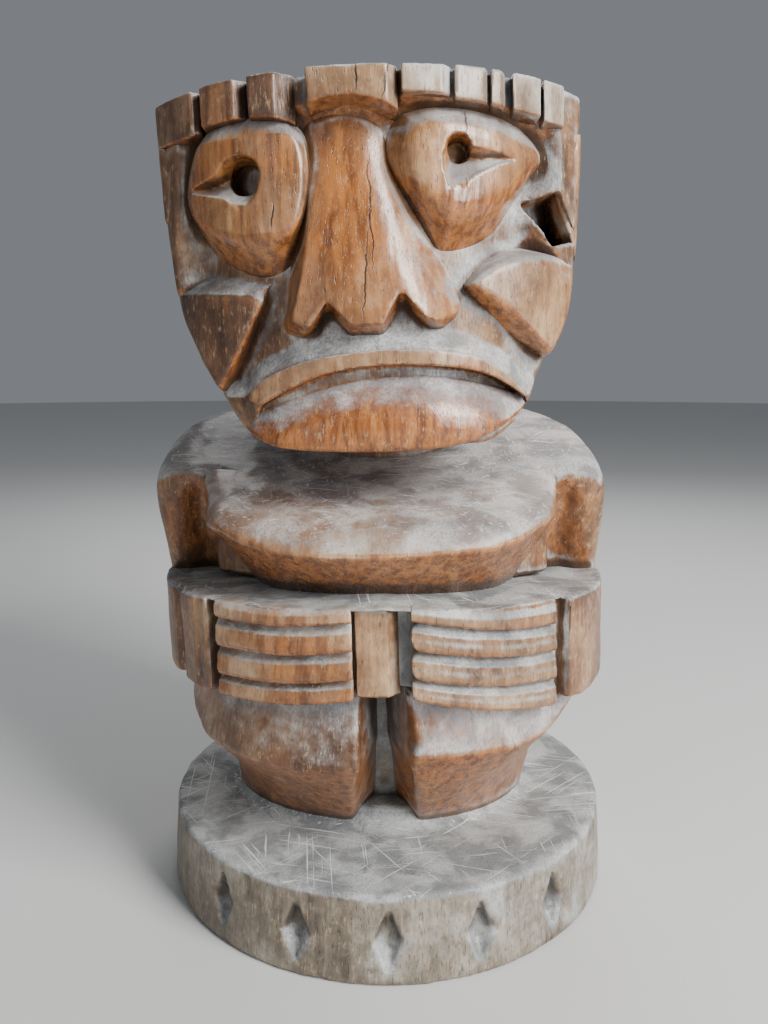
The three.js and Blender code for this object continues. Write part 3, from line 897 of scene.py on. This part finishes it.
class Timber(Tree):
    """Short names for the layers of one timber, and the textures that they share."""

    def __init__(self, name):
        super().__init__(name)
        self.plain = self.stretch()
        self.long_grain = self.noise(self.stretch((1, 1, 0.12)), 320, 4.0, 0.6, 0.4)
        self.fibres = self.noise(self.stretch((1, 1, 0.2)), 1250, 3.0, 0.6)
        self.patches = self.noise(self.plain, 26, 3.0, 0.5, 0.4)
        self.islands = self.noise(self.stretch(turn=(0.4, 0.2, 0)), 60, 4.0, 0.55, 0.4)
        self.blots = self.noise(self.plain, 230, 5.0, 0.65)
        self.speckle = self.noise(self.plain, 1100, 3.0, 0.6)
        self.pores = self.fit(self.noise(self.stretch((1, 1, 0.16)), 1900, 2.0, 0.5), 0.6, 0.7)
        self.hollow = self.add("ShaderNodeAttribute", attribute_name="hollow").outputs["Fac"]
        self.edge = self.add("ShaderNodeAttribute", attribute_name="edge").outputs["Fac"]
        normal = self.add("ShaderNodeNewGeometry").outputs["Normal"]
        self.facing = self.add("ShaderNodeSeparateXYZ", {0: normal}).outputs["Z"]

    def ground(self, dark, middle, light):
        """Brown wood that runs from dark to light in streaks and patches."""
        tone = self.weigh((self.long_grain, 0.24), (self.islands, 0.18), (self.patches, 0.43),
                          (self.blots, 0.15))
        shade = self.add("ShaderNodeValToRGB", {0: tone})
        stops = shade.color_ramp.elements
        stops[0].position = 0.39
        stops[0].color = colour(dark)
        stops[1].position = 0.61
        stops[1].color = colour(light)
        stops.new(0.5).color = colour(middle)
        return shade.outputs[0]

    def warmth(self, warm):
        """How orange the wood is: most where it faces down, least in hollows and on tops."""
        glow = self.noise(self.stretch(turn=(0.9, 0.3, 0)), 34, 3.0, 0.5, 0.3)
        down = self.fit(self.facing, -0.08, -0.7)
        up = self.fit(self.facing, 0.2, 0.7)
        amount = self.weigh((down, 0.75), (glow, 1.1), (up, -0.3), (self.hollow, -0.25))
        return self.fit(amount, 0.74 - 0.45 * warm, 1.02 - 0.45 * warm)

    def lime_and_painted_light(self, lime, warmth):
        """How limed the wood is: most on tops and in hollows, with painted light making it paler toward the
        right.
        """
        up = self.fit(self.facing, -0.1, 0.6)
        nook = self.times(self.fit(self.hollow, 0.15, 0.55), self.fit(self.hollow, 0.8, 0.6))
        across = self.add("ShaderNodeSeparateXYZ", {0: self.plain}).outputs["X"]
        # Painted light: the wood is made paler toward the figure's right, the side the lamps light.
        painted_light_rightward = self.fit(across, -0.05, 0.07, -0.04, 0.12)
        amount = self.weigh((up, 0.6), (nook, 0.35), (self.islands, 0.5), (self.blots, 0.35), (warmth, -0.2),
                            (painted_light_rightward, 1.0))
        amount = self.fit(amount, 1.1 - 0.7 * lime, 1.5 - 0.7 * lime)
        veil = self.weigh((self.fibres, 0.6), (self.speckle, 0.6))
        return self.times(amount, self.fit(veil, 0.45, 0.72, 0.4, 0.92))

    def rub(self, base, warmth, warm):
        """Bare orange wood over base."""
        rubbed = self.mix(self.fit(self.long_grain, 0.34, 0.66), colour(RUBBED_DARK), colour(RUBBED_LIGHT))
        return self.mix(self.times(warmth, min(0.85, 2 * warm)), base, rubbed)

    def grain(self, base, fibre):
        """Short pale fibres and dark pores over base."""
        flecks = self.times(self.fit(self.fibres, 0.52, 0.66), self.fit(self.blots, 0.42, 0.62))
        base = self.mix(self.times(flecks, fibre), base, colour(FIBRE_PALE))
        return self.mix(self.times(self.pores, 0.55), base, colour(PORE_DARK))

    def wear_and_painted_shade(self, base, painted_shade_from):
        """Paler worn edges, and painted shade: darker in the hollows that don't face up."""
        worn = self.fit(self.weigh((self.edge, 1.0), (self.blots, 0.6)), 1.05, 1.35)
        base = self.mix(self.times(worn, 0.16), base, colour(WORN_PALE))
        # Painted shade: enclosed hollows that don't face up are darkened toward a dark brown.
        enclosed = self.fit(self.hollow, painted_shade_from, painted_shade_from + 0.35)
        painted_shade = self.times(enclosed, self.fit(self.facing, 0.6, 0.0))
        return self.mix(self.times(painted_shade, 0.75), base, colour(PAINTED_SHADE_DARK))

    def scratches(self, turn, seed):
        """Thin straight scores that run one way, with clear wood between them."""
        place = self.add("ShaderNodeTexCoord").outputs["Object"]
        along = self.add("ShaderNodeMapping", {"Vector": place, "Location": (seed, 0, 0), "Scale": (1, 60, 1),
                                               "Rotation": (0, 0, turn)}, vector_type="TEXTURE")
        lines = self.noise(along.outputs["Vector"], 850, 1.0, 0.5)
        gaps = self.noise(self.stretch(turn=(seed, seed, 0)), 26, 2.0)
        return self.times(self.fit(lines, 0.66, 0.7), self.fit(gaps, 0.44, 0.56))

    def all_scratches(self, strength):
        """Scores in several directions, on what faces up."""
        lines = 0.0
        for turn, seed in SCRATCH_TURNS.items():
            lines = self.math("MAXIMUM", lines, self.scratches(turn, seed))
        return self.times(lines, self.fit(self.facing, 0.4, 0.85, 0.0, strength))

    def crack(self, x, low, high, tilt):
        """A drying crack at x millimetres that climbs from low to high."""
        place = self.add("ShaderNodeSeparateXYZ", {0: self.add("ShaderNodeTexCoord").outputs["Object"]})
        height = self.math("SUBTRACT", place.outputs["Z"], low * MM)
        sway = self.noise(self.stretch((0, 0, 1)), 90 + x, 4.0, 0.6)
        centre = self.math("ADD", self.times(sway, CRACK_SWAY), x * MM - CRACK_SWAY / 2)
        centre = self.math("ADD", centre, self.times(height, tilt))
        aside = self.math("ABSOLUTE", self.math("SUBTRACT", place.outputs["X"], centre), 0.0)
        rise = self.times(height, 1 / ((high - low) * MM))
        width = self.times(rise, self.math("SUBTRACT", 1.0, rise))
        width = self.times(self.math("MAXIMUM", width, 0.0), CRACK_WIDTH)
        return self.fit(self.math("SUBTRACT", width, aside), -0.0001, 0.0002)

    def surface(self, base, height, lime_and_painted_light, warmth, gloss):
        """The finished surface: lime is dull, and bare warm wood has a thin polished coat."""
        rough = self.fit(lime_and_painted_light, 0.0, 0.8, 0.54 - 0.28 * gloss, 0.8)
        rough = self.weigh((rough, 1.0), (self.speckle, 0.1), (warmth, -0.1 * gloss))
        bump = self.add("ShaderNodeBump", {"Strength": 0.6, "Distance": 0.001 - 0.0007 * gloss,
                                           "Height": height})
        shader = self.add("ShaderNodeBsdfPrincipled", {"Base Color": base, "Roughness": rough,
                                                       "Normal": bump.outputs[0], "Specular IOR Level": 0.5,
                                                       "Coat Weight": 0.3 * gloss, "Coat Roughness": 0.2})
        self.output(shader)


def timber(name, dark, middle, light, lime, warm, gloss, scratch=0.0, fibre=0.5, painted_shade_from=0.55, cracks=()):
    """Old carved hardwood: a brown ground with short pale fibres, rubbed orange where it faces down, a
    grey-white lime on tops and in hollows that painted light makes paler toward the right, and painted shade
    in hollows that don't face up."""
    t = Timber(name)
    warmth = t.warmth(warm)
    lime_and_painted_light = t.lime_and_painted_light(lime, warmth)
    base = t.rub(t.ground(dark, middle, light), warmth, warm)
    base = t.grain(base, fibre)
    chalk = t.mix(t.fit(t.islands, 0.4, 0.62), colour(CHALK_DARK), colour(CHALK_LIGHT))
    base = t.wear_and_painted_shade(t.mix(lime_and_painted_light, base, chalk), painted_shade_from)
    height = t.weigh((t.fibres, 0.3), (t.blots, 0.6), (t.pores, -0.5))
    if scratch:
        lines = t.all_scratches(scratch)
        base = t.mix(lines, base, colour(SCRATCH_PALE))
        height = t.weigh((height, 1.0), (lines, -0.8))
    for x, low, high, tilt in cracks:
        crack = t.crack(x, low, high, tilt)
        base = t.mix(t.times(crack, 0.85), base, colour(CRACK_DARK))
        height = t.weigh((height, 1.0), (crack, -1.5))
    t.surface(base, height, lime_and_painted_light, warmth, gloss)
    return t.material


BROWN = timber("weathered_brown", "35231a", "64452f", "927154", lime=0.5, warm=0.4, gloss=0.6)
SKULL = timber("recessed_brown", "3b281b", "6b4c34", "9b7a59", lime=0.78, warm=0.3, gloss=0.5)
TORSO = timber("shoulder_brown", "4a3122", "775338", "a5825f", lime=0.7, warm=0.3, gloss=0.6, scratch=0.7,
               fibre=0.6)
CHEST = timber("chest_tan", "6b452b", "9a6f4a", "c6a684", lime=0.5, warm=0.62, gloss=0.85, scratch=0.5,
               fibre=0.4)
# The plinth's painted shade starts in shallow hollows, so its lozenge pits are darkened.
GREY = timber("limed_grey", "473d33", "776c5d", "a0988a", lime=0.85, warm=0.0, gloss=0.2, scratch=0.9,
              painted_shade_from=0.08)
LIMED = timber("limed_ledge", "5a5046", "857b6d", "a9a398", lime=1.3, warm=0.0, gloss=0.2, scratch=0.9,
               painted_shade_from=0.8)
# A paler limed tan for the right front blocks: partly their own colour, partly painted light from the right.
LIMED_AND_LIT_PALE = timber("limed_and_lit_tan", "6a523f", "97816a", "c2b29c", lime=0.95, warm=0.35, gloss=0.9, fibre=0.25)
LEG = timber("leg_brown", "57351f", "875c3e", "b08a66", lime=0.85, warm=0.7, gloss=0.8)
RUBBED = timber("rubbed_orange", "5b351e", "8c5633", "b3804f", lime=0.45, warm=0.8, gloss=0.95)
TAN = timber("pale_tan", "5f412b", "94704f", "bd9d79", lime=0.55, warm=0.45, gloss=0.85, fibre=0.3)
NOSE = timber("nose_tan", "5d3c25", "93633d", "bd9166", lime=0.5, warm=0.6, gloss=1.0, fibre=0.2,
              cracks=[(-3.5, 262, 306, -0.04), (-7, 246, 280, 0.05)])
BROW = timber("brow_tan", "5a3f2b", "8d6c4d", "b79a78", lime=0.65, warm=0.35, gloss=0.8, fibre=0.3,
              cracks=[(0, 318, 331, 0.1), (-9, 320, 330, -0.1)])
EYE = timber("eye_tan", "5f3f28", "9c7049", "c9a57c", lime=0.5, warm=0.55, gloss=1.0, fibre=0.2,
             cracks=[(28, 285, 296, 0.03), (27, 309, 318, 0.05), (-38, 278, 288, 0.05)])

# ---- the carved members

MEMBERS = [
    # node, field, step, growth beyond the CAD box, material, slot, tool-mark size
    ("plinth", plinth, 1.4, 8, GREY, "limed_timber", 0.7),
    ("hip_core", hip_core, 1.6, 14, LIMED, "limed_timber", 1.0),
    ("leg_left", leg_left, 1.2, 8, TORSO, "weathered_timber", 0.8),
    ("leg_right", leg_right, 1.2, 8, LEG, "rubbed_timber", 0.8),
    ("haunch_left", haunch(-1), 1.8, 8, TORSO, "weathered_timber", 1.0),
    ("haunch_right", haunch(1), 1.8, 8, TORSO, "weathered_timber", 1.0),
    ("waist_core", waist_core, 1.4, 22, LIMED, "limed_timber", 0.6),
    ("loin_panel", loin_panel, 0.8, 5, TAN, "rubbed_timber", 0.4),
    ("forearm_left", forearm_left, 1.1, 6, TORSO, "weathered_timber", 0.6),
    ("forearm_right", forearm_right, 1.1, 6, TORSO, "weathered_timber", 0.6),
    ("waist_back", waist_back, 1.8, 6, TORSO, "weathered_timber", 1.0),
    ("torso_core", torso_core, 1.6, 8, TORSO, "limed_timber", 1.0),
    ("chest", chest, 1.1, 10, CHEST, "rubbed_timber", 1.0),
    ("upper_arm_left", upper_arm(-1), 1.2, 8, TORSO, "weathered_timber", 1.0),
    ("upper_arm_right", upper_arm(1), 1.2, 8, TORSO, "weathered_timber", 1.0),
    ("back", back, 1.8, 8, TORSO, "weathered_timber", 1.0),
    ("neck", neck, 1.8, 6, BROWN, "weathered_timber", 0.6),
    ("skull", skull, 1.2, 18, SKULL, "weathered_timber", 0.8),
    ("temple_left", temple_left, 0.9, 6, BROWN, "weathered_timber", 0.5),
    ("temple_right", temple_right, 0.9, 6, TAN, "weathered_timber", 0.5),
    ("back_of_head", back_of_head, 1.8, 6, BROWN, "weathered_timber", 1.0),
    ("band_centre", band_centre, 0.8, 5, BROW, "weathered_timber", 0.5),
    ("eye_left", eye_left, 0.7, 12, EYE, "rubbed_timber", 0.5),
    ("eye_right", eye_right, 0.7, 12, EYE, "rubbed_timber", 0.4),
    ("nose", nose, 0.8, 7, NOSE, "rubbed_timber", 0.5),
    ("cheek_left", cheek_left, 0.9, 6, BROWN, "weathered_timber", 0.5),
    # The right cheek takes a paler tan than the left one: partly its own colour, partly painted light from
    # the right.
    ("cheek_right", cheek_right, 0.9, 6, TAN, "rubbed_timber", 0.5),
    ("upper_lip", upper_lip, 0.8, 6, TAN, "rubbed_timber", 0.4),
    ("lower_lip", lower_lip, 0.9, 7, RUBBED, "rubbed_timber", 0.5),
    *((f"hand_{side}_finger_{i + 1}", finger(side, i), 0.8, 5, CHEST if side == "left" else BROW,
       "rubbed_timber", 0.4) for side in ("left", "right") for i in range(4)),
    # The right front blocks are paler than the left ones: partly their own colour, partly painted light from
    # the right.
    *((name, front_block(name), 0.8, 5, LIMED_AND_LIT_PALE if "right" in name else BROWN, "weathered_timber", 0.4)
      for name in FRONT_BLOCKS),
    *((f"band_back_{i + 1}", back_block(i), 1.6, 5, BROWN, "weathered_timber", 0.8) for i in range(8)),
]


def build_figure():
    whole = Field()
    for node, make, _, grow, *_ in MEMBERS:
        low, high = box_mm(node)
        whole.add(low - grow, high + grow, make)
    scale = 1.0
    for node, make, step, grow, material, slot, rough in MEMBERS:
        add_piece(node, whole, make, step * scale, grow, material, rough)


# ---- studio

FLOOR_RADIUS, FLOOR_SIDES, FLOOR_DROP = 6.0, 64, 0.0002
LIGHT_AIM = (0, 0, 0.17)
CAMERA_PLACE = (0.0002, -0.3916, 0.2320)
CAMERA_TILT = 80.45  # degrees up from straight down
LENS, SENSOR_WIDTH = 30, 36


def lamp(name, place, size, watts, tint):
    light = bpy.data.lights.new(name, "AREA")
    light.shape = "RECTANGLE"
    light.size, light.size_y = size
    light.energy = watts
    light.color = tint
    holder = bpy.data.objects.new(name, light)
    holder.location = place
    holder.rotation_euler = (Vector(LIGHT_AIM) - Vector(place)).to_track_quat("-Z", "Y").to_euler()
    bpy.context.scene.collection.objects.link(holder)


def floor():
    t = Tree("studio_floor")
    t.output(t.add("ShaderNodeBsdfPrincipled", {"Base Color": (0.62, 0.62, 0.61, 1), "Roughness": 0.85}))
    mesh = bpy.data.meshes.new("studio_floor")
    rim = [(FLOOR_RADIUS * math.cos(a), FLOOR_RADIUS * math.sin(a), -FLOOR_DROP)
           for a in np.linspace(0, 2 * math.pi, FLOOR_SIDES, endpoint=False)]
    mesh.from_pydata(rim, [], [tuple(range(FLOOR_SIDES))])
    mesh.materials.append(t.material)
    ground = bpy.data.objects.new("studio_floor", mesh)
    bpy.context.scene.collection.objects.link(ground)


def sky():
    world = bpy.data.worlds.new("studio")
    world.use_nodes = True
    backdrop = world.node_tree.nodes["Background"]
    backdrop.inputs["Color"].default_value = (0.83, 0.88, 0.95, 1)
    backdrop.inputs["Strength"].default_value = 0.24
    bpy.context.scene.world = world


def lights():
    lamp("key", (0.78, -0.7, 0.9), (0.5, 0.5), 24, (1, 0.99, 0.97))
    lamp("window", (0.85, -0.95, 0.5), (0.35, 0.6), 13, (0.97, 0.98, 1))
    lamp("fill", (-0.9, -1.0, 0.5), (0.8, 0.8), 1.5, (0.93, 0.96, 1))
    lamp("back", (0.1, 0.9, 0.9), (0.9, 0.5), 6, (1, 1, 1))


def camera():
    lens = bpy.data.cameras.new("camera")
    lens.lens = LENS
    lens.sensor_width = SENSOR_WIDTH
    lens.clip_start = 0.01
    holder = bpy.data.objects.new("camera", lens)
    holder.location = CAMERA_PLACE
    holder.rotation_euler = (math.radians(CAMERA_TILT), 0, 0)
    bpy.context.scene.collection.objects.link(holder)
    bpy.context.scene.camera = holder


build_figure()
floor()
sky()
lights()
camera()
